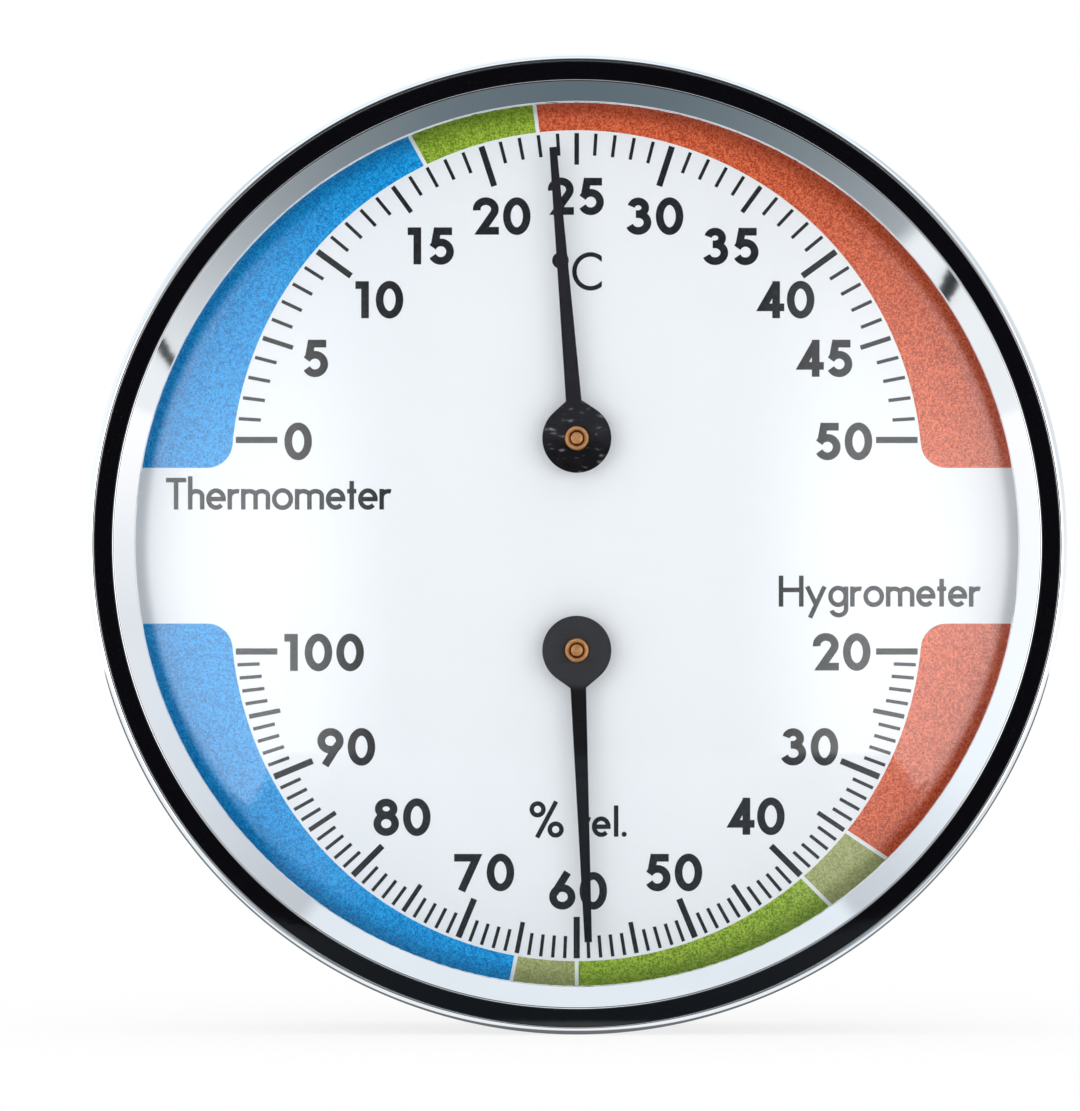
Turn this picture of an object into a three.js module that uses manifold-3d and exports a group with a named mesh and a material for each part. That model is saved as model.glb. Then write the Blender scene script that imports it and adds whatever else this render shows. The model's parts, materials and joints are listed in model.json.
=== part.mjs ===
import * as THREE from 'three';
import { mergeVertices } from 'three/addons/utils/BufferGeometryUtils.js';
import Module from 'manifold-3d';

const wasm = await Module();
wasm.setup();

// A round thermo-hygrometer for a wall, in millimetres.
// The dial faces -Y, +X is to the right and +Z is up. The origin is the centre of the flat back.
// A depth is a distance in front of the wall, along -Y.

// Bezel: a polished ring with a black inlay, and a cone that leads in to the lens.
const bezelRadius = 51.5;
const bezelEdge = 0.77;
const bandWidth = 1.94;
const bandThickness = 0.5;
const bandLand = 0.2;
const bevelWidth = 2.35;
const bevelDrop = 1.7;
const lipThickness = 0.6;
const skirtWall = 1.5;
const skirtDepth = 12;
const skirtChamfer = 0.4;

// Lens, dial and the ring between them.
const lensThickness = 1.5;
const lensRise = 2.2;
const dialThickness = 0.6;
const dialRecess = 3.4;
const dialLedge = 1.7;
const dialHoleRadius = 2.2;
const spacerWall = 0.7;

// Case: a cup with a sloping shoulder, open to the air through the vents in the shoulder.
const caseBack = 2;
const caseSide = 1.5;
const backRound = 0.8;
const shoulderInset = 6.7;
const shoulderDepth = 9;
const ventCount = 24;
const ventWidth = 2;
const ventLength = 3.6;
const ventStart = 3.2;
const bossRadius = 2.6;
const bossHeight = 4;
const keyholeRadius = 4.5;
const keyholeSlotWidth = 4.6;
const keyholeSlotLength = 8;
const keyholeInset = 9.5;
const adjusterHoleRadius = 3.5;

// Movements: two base plates, each with its own pivot above or below the middle of the dial.
const pivotOffset = 11.2;
const movementRoom = 9.2;
const plateThickness = 1;
const plateHalfWidth = 4.5;
const screwReach = 19;
const screwRadius = 1.1;
const screwLength = 3.8;
const screwHeadRadius = 2.2;
const screwHeadHeight = 1.4;
const screwHeadChamfer = 0.5;
const recessLength = 2.4;
const recessWidth = 0.6;
const recessDepth = 0.7;
const journalRadius = 1;
const pinRadius = 0.65;
const pinShoulderRadius = 1.8;
const pinFootRadius = 1.7;
const pinFootHeight = 0.6;
const adjusterHeadRadius = 2.3;
const adjusterHeadHeight = 2;
const adjusterSlotWidth = 0.8;
const adjusterSlotDepth = 0.7;
const washerRadius = 2.8;
const washerThickness = 0.4;
const armThickness = 0.8;
const armHalfWidth = 2;
const bushRadius = 1.6;
const bushNeckRadius = 1.25;
const bushMouthRadius = 0.95;
const bushMouthDepth = 0.35;
const bushProud = 0.7;
const pinBelowBush = 0.15;
const colletWall = 0.95;
const coilStrip = 0.4;
const coilWidth = 2.6;
const coilPitch = 1.1;
const coilTurns = 5;
const coilTail = 4.6;
const coilLift = 0.7;
const studRadius = 1.2;
const studProud = 0.5;

// Pointers, and the readings at which they stand.
const pointerLift = 2;
const pointerThickness = 0.4;
const hubRadius = 3.65;
const hubShoulderAngle = 38;
const needleRootHalf = 0.8;
const needleTipHalf = 0.36;
const needleMargin = 4.54;
const thermoReading = 23.7;
const thermoMiddle = 25;
const thermoDegreesPerUnit = 3.6;
const hygroReading = 59;
const hygroMiddle = 60;
const hygroDegreesPerUnit = 2.25;

// Clearances: around pieces that are put together loosely, pushed on, or turn on each other.
const fitGap = 0.3;
const pushGap = 0.05;
const runningGap = 0.1;

// Fineness of round pieces, and the distance within which corners are one.
const ringSteps = 64;
const domeSteps = 6;
const edgeSteps = 4;
const smallSteps = 16;
const coilStepsPerTurn = 22;
const weldDistance = 1e-4;

// Depths, stacked up from the wall.
const plateBackDepth = caseBack + bossHeight;
const plateDepth = plateBackDepth + plateThickness;
const armBackDepth = plateDepth + washerThickness;
const armDepth = armBackDepth + armThickness;
const bushBackDepth = armDepth + fitGap;
const coilBackDepth = bushBackDepth + coilLift;
const coilDepth = coilBackDepth + coilWidth;
const dialBackDepth = plateDepth + movementRoom;
const dialDepth = dialBackDepth + dialThickness;
const rimDepth = dialDepth + dialRecess;
const lensDepth = rimDepth + lensThickness;
const sightDepth = lensDepth + lipThickness;
const frontDepth = sightDepth + bevelDrop;
const skirtBackDepth = frontDepth - skirtDepth;
const pointerBackDepth = dialDepth + pointerLift;
const bushDepth = pointerBackDepth + pointerThickness + bushProud;

// Radii, from the bezel inwards.
const bandOuter = bezelRadius - bezelEdge;
const bandInner = bandOuter - bandWidth;
const sightRadius = bandInner - bevelWidth;
const skirtInner = bezelRadius - skirtWall;
const caseRadius = skirtInner - fitGap;
const caseInner = caseRadius - caseSide;
const backRadius = caseRadius - shoulderInset;
const dialRadius = caseInner - fitGap;
const ledgeRadius = dialRadius - dialLedge;
const needleLength = sightRadius - pivotOffset - needleMargin;
const bushBore = pinRadius + runningGap;
const colletBore = bushRadius + pushGap;
const colletRadius = colletBore + colletWall;

// The signed volume inside a mesh: negative where its faces point inwards.
function signedVolume(geometry) {
  const place = geometry.getAttribute('position');
  const [a, b, c] = [new THREE.Vector3(), new THREE.Vector3(), new THREE.Vector3()];
  let volume = 0;
  for (let i = 0; i < geometry.index.count; i += 3) {
    a.fromBufferAttribute(place, geometry.index.getX(i));
    b.fromBufferAttribute(place, geometry.index.getX(i + 1));
    c.fromBufferAttribute(place, geometry.index.getX(i + 2));
    volume += a.dot(b.cross(c)) / 6;
  }
  return volume;
}

// Welds shared corners, drops collapsed faces and turns all faces outwards.
function closed(geometry) {
  geometry.deleteAttribute('normal');
  geometry.deleteAttribute('uv');
  const welded = mergeVertices(geometry, weldDistance);
  const corners = Array.from(welded.index.array);
  const faces = [];
  for (let i = 0; i < corners.length; i += 3) {
    const [a, b, c] = corners.slice(i, i + 3);
    if (a !== b && b !== c && c !== a) {
      faces.push([a, b, c]);
    }
  }
  welded.setIndex(faces.flat());
  if (signedVolume(welded) < 0) {
    welded.setIndex(faces.map(([a, b, c]) => [a, c, b]).flat());
  }
  return welded;
}

// A piece turned about the Y axis, from corners given as [radius, depth].
function turned(corners, steps) {
  const profile = corners.map(([radius, depth]) => new THREE.Vector2(radius, -depth));
  return closed(new THREE.LatheGeometry(profile, steps));
}

// A turned ring, whose section closes on itself.
function turnedRing(corners, steps) {
  return turned([...corners, corners[0]], steps);
}

// A solid disc or pin between two depths.
function turnedPin(radius, backDepth, depth, steps) {
  return turned([[0, backDepth], [radius, backDepth], [radius, depth], [0, depth]], steps);
}

// A flat piece with a front-view outline, between a back depth and its thickness further forward.
function sheet(outline, backDepth, thickness) {
  const settings = { depth: thickness, bevelEnabled: false, curveSegments: smallSteps / 2 };
  const geometry = new THREE.ExtrudeGeometry(outline, settings);
  return closed(geometry.rotateX(Math.PI / 2).translate(0, -backDepth, 0));
}

// A front-view outline with two round ends, around a line from one point to another.
function roundEnded(from, to, radius) {
  const heading = Math.atan2(to[1] - from[1], to[0] - from[0]);
  const quarter = Math.PI / 2;
  const outline = new THREE.Shape();
  outline.absarc(from[0], from[1], radius, heading + quarter, heading + 3 * quarter, false);
  outline.absarc(to[0], to[1], radius, heading - quarter, heading + quarter, false);
  outline.closePath();
  return outline;
}

// Adds a round hole to a front-view outline.
function pierce(outline, x, z, radius) {
  const hole = new THREE.Path();
  hole.absarc(x, z, radius, 0, 2 * Math.PI, true);
  outline.holes.push(hole);
}

// A box by its middle and its size across X, depth and Z.
function block(x, depth, z, width, length, height) {
  return closed(new THREE.BoxGeometry(width, length, height)).translate(x, -depth, z);
}

function asSolid(geometry) {
  const vertProperties = Float32Array.from(geometry.getAttribute('position').array);
  const triVerts = Uint32Array.from(geometry.index.array);
  return new wasm.Manifold(new wasm.Mesh({ numProp: 3, vertProperties, triVerts }));
}

// The first geometry, with others joined to it and then tools cut from it.
function carved(geometry, joined, tools) {
  let solid = asSolid(geometry);
  for (const extra of joined) {
    solid = solid.add(asSolid(extra));
  }
  for (const tool of tools) {
    solid = solid.subtract(asSolid(tool));
  }
  const mesh = solid.getMesh();
  const result = new THREE.BufferGeometry();
  result.setAttribute('position', new THREE.BufferAttribute(mesh.vertProperties, 3));
  result.setIndex(Array.from(mesh.triVerts));
  return result;
}

// The places of the four screws, as [x, z].
const screwPlaces = [-screwReach, screwReach].flatMap(
  (x) => [[x, pivotOffset], [x, -pivotOffset]],
);

// The cup: flat back, sloping shoulder of even wall, straight side and a ledge for the dial.
function caseCup() {
  const slope = shoulderInset / shoulderDepth;
  const wallShift = caseBack * Math.hypot(1, slope);
  const innerBackRadius = backRadius + slope * caseBack - wallShift;
  const innerShoulderDepth = (ledgeRadius + wallShift - backRadius) / slope;
  return turned([
    [0, 0],
    [backRadius - backRound, 0],
    [backRadius + slope * backRound, backRound],
    [caseRadius, shoulderDepth],
    [caseRadius, rimDepth],
    [caseInner, rimDepth],
    [caseInner, dialBackDepth],
    [ledgeRadius, dialBackDepth],
    [ledgeRadius, innerShoulderDepth],
    [innerBackRadius, caseBack],
    [0, caseBack],
  ], ringSteps);
}

// One slot through the sloping shoulder, turned to its place round the case.
function vent(turn) {
  const middleRadius = (backRadius + caseRadius) / 2;
  const reach = 2 * (shoulderInset + caseBack);
  const slot = block(0, ventStart + ventLength / 2, middleRadius, ventWidth, ventLength, reach);
  return slot.rotateY(turn);
}

// A hole for a screw head, with a narrower slot above it that the case drops onto.
function keyholeTools() {
  const slotTop = backRadius - keyholeInset - keyholeSlotWidth / 2;
  const entry = slotTop - keyholeSlotLength;
  const through = caseBack + 2 * fitGap;
  const slot = roundEnded([0, entry], [0, slotTop], keyholeSlotWidth / 2);
  const hole = turnedPin(keyholeRadius, -fitGap, caseBack + fitGap, 2 * smallSteps);
  return [sheet(slot, -fitGap, through), hole.translate(0, 0, entry)];
}

function rearCase() {
  const bosses = screwPlaces.map(([x, z]) =>
    turnedPin(bossRadius, caseBack / 2, plateBackDepth, smallSteps).translate(x, 0, z));
  const pilotBack = plateDepth - screwLength - fitGap;
  const pilots = screwPlaces.map(([x, z]) =>
    turnedPin(screwRadius + runningGap, pilotBack, plateDepth, smallSteps).translate(x, 0, z));
  const vents = Array.from({ length: ventCount }, (_, i) => vent((i + 0.5) * 2 * Math.PI / ventCount));
  const adjusterHole = turnedPin(adjusterHoleRadius, -fitGap, caseBack + fitGap, 2 * smallSteps);
  adjusterHole.translate(0, 0, -pivotOffset);
  return carved(caseCup(), bosses, [...pilots, ...vents, ...keyholeTools(), adjusterHole]);
}

function bezelRing() {
  const edgeRadius = bezelEdge - bandLand;
  const edge = Array.from({ length: edgeSteps + 1 }, (_, i) => {
    const turn = (i / edgeSteps) * Math.PI / 2;
    const radius = bezelRadius - edgeRadius * (1 - Math.cos(turn));
    return [radius, frontDepth - edgeRadius * (1 - Math.sin(turn))];
  });
  const grooveDepth = frontDepth - bandThickness;
  return turnedRing([
    [skirtInner, skirtBackDepth],
    [bezelRadius - skirtChamfer, skirtBackDepth],
    [bezelRadius, skirtBackDepth + skirtChamfer],
    ...edge,
    [bandOuter, frontDepth],
    [bandOuter, grooveDepth],
    [bandInner, grooveDepth],
    [bandInner, frontDepth],
    [bandInner - bandLand, frontDepth],
    [sightRadius, sightDepth],
    [sightRadius, lensDepth],
    [skirtInner, lensDepth],
  ], ringSteps);
}

function bezelBand() {
  const inner = bandInner + pushGap;
  const outer = bandOuter - pushGap;
  const back = frontDepth - bandThickness;
  return turnedRing([[inner, back], [outer, back], [outer, frontDepth], [inner, frontDepth]], ringSteps);
}

// A shallow dome of even thickness, with a flat flange that the bezel lip holds down.
function lens() {
  const domeRadius = sightRadius - fitGap;
  const sphereRadius = (domeRadius ** 2 + lensRise ** 2) / (2 * lensRise);
  const dome = Array.from({ length: domeSteps + 1 }, (_, i) => {
    const radius = domeRadius * (1 - i / domeSteps);
    const rise = Math.sqrt(sphereRadius ** 2 - radius ** 2) - (sphereRadius - lensRise);
    return [radius, rise];
  });
  return turned([
    ...dome.toReversed().map(([radius, rise]) => [radius, rimDepth + rise]),
    [caseRadius, rimDepth],
    [caseRadius, lensDepth],
    ...dome.map(([radius, rise]) => [radius, lensDepth + rise]),
  ], ringSteps);
}

function dialSpacer() {
  const inner = dialRadius - spacerWall;
  return turnedRing([
    [inner, dialDepth],
    [dialRadius, dialDepth],
    [dialRadius, rimDepth],
    [inner, rimDepth],
  ], ringSteps);
}

function dialPlate() {
  const holes = [pivotOffset, -pivotOffset].map((z) =>
    turnedPin(dialHoleRadius, dialBackDepth - fitGap, dialDepth + fitGap, smallSteps).translate(0, 0, z));
  return carved(turnedPin(dialRadius, dialBackDepth, dialDepth, ringSteps), [], holes);
}

// A base plate about its own pivot, with a hole for the pin and one at each end for a screw.
function basePlate(pinHole) {
  const outline = roundEnded([-screwReach, 0], [screwReach, 0], plateHalfWidth);
  pierce(outline, 0, 0, pinHole);
  pierce(outline, -screwReach, 0, screwRadius + fitGap);
  pierce(outline, screwReach, 0, screwRadius + fitGap);
  return sheet(outline, plateBackDepth, plateThickness);
}

// A pan-head screw with a cross recess.
function screw() {
  const top = plateDepth + screwHeadHeight;
  const body = turned([
    [0, plateDepth - screwLength],
    [screwRadius, plateDepth - screwLength],
    [screwRadius, plateDepth],
    [screwHeadRadius, plateDepth],
    [screwHeadRadius, top - screwHeadChamfer],
    [screwHeadRadius - screwHeadChamfer, top],
    [0, top],
  ], smallSteps);
  const across = block(0, top, 0, recessLength, 2 * recessDepth, recessWidth);
  const upright = block(0, top, 0, recessWidth, 2 * recessDepth, recessLength);
  return carved(body, [], [across, upright]);
}

// The fixed pin, riveted into its plate, with a shoulder below the bush.
function pivotPin() {
  const top = bushDepth - pinBelowBush;
  return turned([
    [0, plateBackDepth - pinFootHeight],
    [pinFootRadius, plateBackDepth - pinFootHeight],
    [pinFootRadius, plateBackDepth],
    [journalRadius, plateBackDepth],
    [journalRadius, plateDepth],
    [pinShoulderRadius, plateDepth],
    [pinShoulderRadius, armDepth],
    [pinRadius, armDepth],
    [pinRadius, top],
    [0, top],
  ], smallSteps);
}

// The turning pin, with a slotted head behind its plate and a journal up to the arm.
function adjusterPin() {
  const headFront = plateBackDepth - runningGap;
  const headBack = headFront - adjusterHeadHeight;
  const top = bushDepth - pinBelowBush;
  const body = turned([
    [0, headBack],
    [adjusterHeadRadius, headBack],
    [adjusterHeadRadius, headFront],
    [journalRadius, headFront],
    [journalRadius, armDepth],
    [pinRadius, armDepth],
    [pinRadius, top],
    [0, top],
  ], smallSteps);
  const slotLength = 2 * (adjusterHeadRadius + fitGap);
  const slot = block(0, headBack, 0, slotLength, 2 * adjusterSlotDepth, adjusterSlotWidth);
  return carved(body, [], [slot]);
}

function frictionWasher() {
  const bore = journalRadius + runningGap;
  return turnedRing([
    [bore, plateDepth],
    [washerRadius, plateDepth],
    [washerRadius, armBackDepth],
    [bore, armBackDepth],
  ], smallSteps);
}

// The brass tube that turns on a pin: a shoulder for the pointer, and a countersunk mouth.
function bush() {
  return turnedRing([
    [bushBore, bushBackDepth],
    [bushRadius, bushBackDepth],
    [bushRadius, pointerBackDepth],
    [bushNeckRadius, pointerBackDepth],
    [bushNeckRadius, bushDepth],
    [bushMouthRadius, bushDepth],
    [bushBore, bushDepth - bushMouthDepth],
  ], smallSteps);
}

function collet() {
  return turnedRing([
    [colletBore, coilBackDepth],
    [colletRadius, coilBackDepth],
    [colletRadius, coilDepth],
    [colletBore, coilDepth],
  ], smallSteps);
}

// The coil's last turn leaves along a straight tail, whose end lies level with the pivot.
const coilInner = colletRadius + fitGap + coilStrip / 2;
const coilOuter = coilInner + coilPitch * coilTurns;
const coilTailTurn = -Math.atan2(coilTail, coilOuter);
const studReach = Math.hypot(coilOuter, coilTail);

// The middle line of the coil in the front view, from the collet out past its stud.
function coilLine() {
  const steps = coilTurns * coilStepsPerTurn;
  const line = Array.from({ length: steps + 1 }, (_, i) => {
    const share = i / steps;
    const turn = coilTailTurn - 2 * Math.PI * coilTurns * (1 - share);
    const radius = coilInner + coilPitch * coilTurns * share;
    return new THREE.Vector2(radius, 0).rotateAround(new THREE.Vector2(), turn);
  });
  const tail = coilTail + studRadius;
  line.push(new THREE.Vector2(coilOuter, tail).rotateAround(new THREE.Vector2(), coilTailTurn));
  return line;
}

// A strip of even thickness, bent along the coil's middle line.
function coil() {
  const line = coilLine();
  const sides = line.map((point, i) => {
    const before = line[Math.max(i - 1, 0)];
    const after = line[Math.min(i + 1, line.length - 1)];
    const along = after.clone().sub(before).normalize();
    const across = new THREE.Vector2(-along.y, along.x).multiplyScalar(coilStrip / 2);
    return [point.clone().add(across), point.clone().sub(across)];
  });
  const inner = sides.map(([left]) => left);
  const outer = sides.map(([, right]) => right);
  return sheet(new THREE.Shape([...inner, ...outer.toReversed()]), coilBackDepth, coilWidth);
}

// A slotted post for the end of the coil, standing on what lies at its foot.
function coilStud(footDepth) {
  const top = coilDepth + studProud;
  const slotBottom = coilBackDepth - fitGap;
  const post = turnedPin(studRadius, footDepth, top, smallSteps);
  const slotDepth = 2 * (top - slotBottom);
  const slot = block(0, top, 0, coilStrip + 2 * fitGap, slotDepth, 3 * studRadius);
  return carved(post, [], [slot.rotateY(-coilTailTurn)]).translate(studReach, 0, 0);
}

// The arm on the adjuster pin, out to the foot of the stud.
function regulatorArm() {
  const outline = roundEnded([0, 0], [studReach, 0], armHalfWidth);
  pierce(outline, 0, 0, journalRadius + pushGap);
  return sheet(outline, armBackDepth, armThickness);
}

// A pointer that stands upright: a round hub whose shoulders run straight into a tapered needle.
function pointer() {
  const turn = THREE.MathUtils.degToRad(hubShoulderAngle);
  const rise = (hubRadius * Math.sin(turn) - needleRootHalf) * Math.tan(turn);
  const rootHeight = hubRadius * Math.cos(turn) + rise;
  const outline = new THREE.Shape();
  outline.absarc(0, 0, hubRadius, Math.PI / 2 + turn, Math.PI / 2 - turn, false);
  outline.lineTo(needleRootHalf, rootHeight);
  outline.lineTo(needleTipHalf, needleLength);
  outline.lineTo(-needleTipHalf, needleLength);
  outline.lineTo(-needleRootHalf, rootHeight);
  outline.closePath();
  pierce(outline, 0, 0, bushNeckRadius + pushGap);
  return sheet(outline, pointerBackDepth, pointerThickness);
}

function finish(color, roughness, metalness) {
  return () => new THREE.MeshStandardMaterial({ color, roughness, metalness });
}

const polishedChrome = finish('#d9dcdf', 0.08, 1);
const blackLacquer = finish('#0b0b0d', 0.12, 0);
const blackPlastic = finish('#1b1b1d', 0.6, 0);
const whitePlastic = finish('#eceef0', 0.5, 0);
const whiteEnamel = finish('#f1f3f6', 0.4, 0);
const blackPaint = finish('#1d1c20', 0.45, 0);
const brass = finish('#b5794a', 0.3, 1);
const zincSteel = finish('#a9adb2', 0.35, 1);
const bimetal = finish('#b7a98e', 0.4, 1);
const foilStrip = finish('#c7b9a2', 0.5, 0.6);

function clearPlastic() {
  const settings = { color: '#ffffff', roughness: 0.05, metalness: 0, transparent: true, opacity: 0.2 };
  return new THREE.MeshStandardMaterial(settings);
}

function piece(name, geometry, makeMaterial) {
  const mesh = new THREE.Mesh(geometry, makeMaterial());
  mesh.name = name;
  return mesh;
}

function placedAt(object, x, z) {
  object.position.set(x, 0, z);
  return object;
}

// The bush, collet and pointer of one movement, turned clockwise in the front view.
function turningSet(name, clockwiseDegrees) {
  const set = new THREE.Group();
  set.add(
    piece(`${name}_bush`, bush(), brass),
    piece(`${name}_collet`, collet(), brass),
    piece(`${name}_pointer`, pointer(), blackPaint),
  );
  set.rotation.y = THREE.MathUtils.degToRad(clockwiseDegrees);
  return set;
}

// The plate of one movement, with its two screws.
function movementBase(name, pinHole) {
  const base = new THREE.Group();
  base.add(
    piece(`${name}_base_plate`, basePlate(pinHole), zincSteel),
    placedAt(piece(`${name}_screw_left`, screw(), zincSteel), -screwReach, 0),
    placedAt(piece(`${name}_screw_right`, screw(), zincSteel), screwReach, 0),
  );
  return base;
}

function housing() {
  const group = new THREE.Group();
  group.add(
    piece('rear_case', rearCase(), blackPlastic),
    piece('bezel_ring', bezelRing(), polishedChrome),
    piece('bezel_band', bezelBand(), blackLacquer),
    piece('lens', lens(), clearPlastic),
    piece('dial_spacer', dialSpacer(), whitePlastic),
    piece('dial_plate', dialPlate(), whiteEnamel),
  );
  return group;
}

function thermometer() {
  const group = new THREE.Group();
  const clockwise = (thermoReading - thermoMiddle) * thermoDegreesPerUnit;
  group.add(
    movementBase('thermo', journalRadius + pushGap),
    piece('thermo_pivot_pin', pivotPin(), brass),
    piece('thermo_coil', coil(), bimetal),
    piece('thermo_coil_stud', coilStud(plateDepth), zincSteel),
    turningSet('thermo', clockwise),
  );
  return placedAt(group, 0, pivotOffset);
}

function hygrometer() {
  const group = new THREE.Group();
  const clockwise = 180 + (hygroReading - hygroMiddle) * hygroDegreesPerUnit;
  group.add(
    movementBase('hygro', journalRadius + runningGap),
    piece('hygro_friction_washer', frictionWasher(), zincSteel),
    piece('hygro_adjuster_pin', adjusterPin(), brass),
    piece('hygro_regulator_arm', regulatorArm(), zincSteel),
    piece('hygro_coil', coil(), foilStrip),
    piece('hygro_coil_stud', coilStud(armDepth), zincSteel),
    turningSet('hygro', clockwise),
  );
  return placedAt(group, 0, -pivotOffset);
}

const instrument = new THREE.Group();
instrument.add(housing(), thermometer(), hygrometer());

export default instrument;
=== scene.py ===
import json
import math

import bmesh
import bpy
from mathutils import Matrix, Vector


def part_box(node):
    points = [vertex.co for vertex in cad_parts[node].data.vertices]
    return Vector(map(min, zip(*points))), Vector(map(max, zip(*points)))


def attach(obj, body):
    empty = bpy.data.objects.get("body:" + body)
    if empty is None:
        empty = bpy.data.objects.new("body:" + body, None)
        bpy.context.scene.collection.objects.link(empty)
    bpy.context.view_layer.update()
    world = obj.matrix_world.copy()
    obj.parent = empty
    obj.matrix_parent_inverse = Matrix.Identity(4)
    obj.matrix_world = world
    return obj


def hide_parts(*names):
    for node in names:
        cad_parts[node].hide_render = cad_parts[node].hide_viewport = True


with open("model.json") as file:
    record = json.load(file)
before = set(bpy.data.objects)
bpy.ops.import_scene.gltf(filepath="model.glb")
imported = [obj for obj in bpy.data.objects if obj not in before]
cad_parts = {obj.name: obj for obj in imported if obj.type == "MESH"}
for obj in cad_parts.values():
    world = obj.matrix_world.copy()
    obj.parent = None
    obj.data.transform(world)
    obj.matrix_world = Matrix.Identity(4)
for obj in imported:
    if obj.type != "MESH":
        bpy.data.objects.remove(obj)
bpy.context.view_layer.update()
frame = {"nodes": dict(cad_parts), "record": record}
mm = 0.001  # sizes below are in millimetres, depths are distances in front of the wall


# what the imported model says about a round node: its radius and its two depths
def roundSize(node):
    low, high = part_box(node)
    return {"radius": high.x / mm, "back": -high.y / mm, "front": -low.y / mm}


bezelSize = roundSize("bezel_ring")
lensSize = roundSize("lens")
dialSize = roundSize("dial_plate")
caseSize = roundSize("rear_case")
bandSize = roundSize("bezel_band")
spacerSize = roundSize("dial_spacer")
pivotHeight = 11.2  # of the upper pivot above the middle of the dial; the lower one is as far below


# node trees

def mathsNode(operation, swapped=False):  # an operator that adds a Math node
    def operator(self, other):
        operands = (other, self) if swapped else (self, other)
        return self.board.maths(operation, *operands)
    return operator


class Wire:  # a socket that can stand in Python sums
    def __init__(self, board, socket):
        self.board = board
        self.socket = socket

    def __neg__(self):
        return self * -1

    def __abs__(self):
        return self.board.maths("ABSOLUTE", self)

    __add__ = __radd__ = mathsNode("ADD")
    __mul__ = __rmul__ = mathsNode("MULTIPLY")
    __sub__, __rsub__ = mathsNode("SUBTRACT"), mathsNode("SUBTRACT", True)
    __truediv__, __rtruediv__ = mathsNode("DIVIDE"), mathsNode("DIVIDE", True)
    __pow__, __rpow__ = mathsNode("POWER"), mathsNode("POWER", True)
    __mod__, __rmod__ = mathsNode("FLOORED_MODULO"), mathsNode("FLOORED_MODULO", True)
    __lt__, __gt__ = mathsNode("LESS_THAN"), mathsNode("GREATER_THAN")


class Board:  # a node tree that nodes are added to
    def __init__(self, tree, look=None):
        self.tree = tree
        self.look = look

    def node(self, kind, settings=None, sockets=None, output=0):  # a list of wires all go to one socket
        made = self.tree.nodes.new(kind)
        for name, value in (settings or {}).items():
            setattr(made, name, value)
        for name, value in (sockets or {}).items():
            wires = value if isinstance(value, list) else [value]
            for wire in wires:
                if isinstance(wire, Wire):
                    self.tree.links.new(wire.socket, made.inputs[name])
                else:
                    made.inputs[name].default_value = wire
        return Wire(self, made.outputs[output]) if len(made.outputs) else made

    def outputs(self, kind, sockets=None):  # all the outputs of a node, by name
        made = self.node(kind, sockets=sockets).socket.node
        return {socket.name: Wire(self, socket) for socket in made.outputs}

    def maths(self, operation, *operands):
        return self.node("ShaderNodeMath", {"operation": operation}, dict(enumerate(operands)))

    def length(self, x, y):
        return self.maths("SQRT", x * x + y * y)

    def ease(self, value, ends, unit=1.0):  # a soft step from 0 at the first end to 1 at the other
        sockets = {"Value": value, "From Min": ends[0] * unit, "From Max": ends[1] * unit}
        return self.node("ShaderNodeMapRange", {"interpolation_type": "SMOOTHSTEP"}, sockets)

    def blend(self, one, other, share=0.4):
        return one * (1 - share) + other * share

    def place(self):
        return self.node("ShaderNodeTexCoord", output="Object")

    def parts(self, vector):
        return list(self.outputs("ShaderNodeSeparateXYZ", {0: vector}).values())

    def vector(self, x=0.0, y=0.0, z=0.0):
        return self.node("ShaderNodeCombineXYZ", sockets={0: x, 1: y, 2: z})

    def noise(self, pattern, place=None):  # a pattern is the size of one mottle in millimetres, and its detail
        grain, detail = pattern
        sockets = {"Vector": place or self.place(), "Scale": 1 / (grain * mm), "Detail": detail}
        return self.node("ShaderNodeTexNoise", sockets=sockets)

    def colours(self, one, other, share):
        one, other = ((*tone, 1) if isinstance(tone, tuple) else tone for tone in (one, other))
        return self.node("ShaderNodeMix", {"data_type": "RGBA"}, {0: share, 6: one, 7: other}, 2)

    def shaders(self, share, one, other):
        return self.node("ShaderNodeMixShader", sockets={0: share, 1: one, 2: other})

    def geometry(self, kind, output=0, **sockets):
        return self.node(f"GeometryNode{kind}", sockets=sockets, output=output)

    def aboutY(self, turn):
        return self.node("FunctionNodeEulerToRotation", sockets={0: self.vector(y=turn)})

    def show(self, shader):
        self.node("ShaderNodeOutputMaterial", sockets={"Surface": shader})
        return self.look

    # a solid finish: its roughness is the least one and what each pattern adds to it
    def finish(self, given, tone, height, *patterns):
        least, *shares = given["rough"]
        rough = sum((pattern * share for pattern, share in zip(patterns, shares)), least)
        relief = self.node("ShaderNodeBump", sockets={"Height": height, "Distance": given["relief"] * mm})
        return self.show(self.node("ShaderNodeBsdfPrincipled", sockets={
            "Base Color": tone, "Roughness": rough, "Normal": relief,
            "Metallic": given.get("metallic", 0.0), "Specular IOR Level": given.get("specular", 0.5)}))


def newLook(name):
    look = bpy.data.materials.new(name)
    look.use_nodes = True
    look.node_tree.nodes.clear()
    return Board(look.node_tree, look)


# distance from an axis that runs along Y, at a height in millimetres
def axisDistance(board, height=0.0):
    x, _, z = board.parts(board.place())
    return board.length(x, z - height * mm)


# finishes: patterns and relief in millimetres

chromeFinish = {
    "dull": (0.77, 0.79, 0.81), "bright": (0.90, 0.905, 0.91),
    "haze": (7, 3), "lines": (0.05, 1), "ripple": (1.6, 2),
    "rough": (0.02, 0.03, 0.02), "relief": 0.001, "metallic": 1.0,
}


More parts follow.
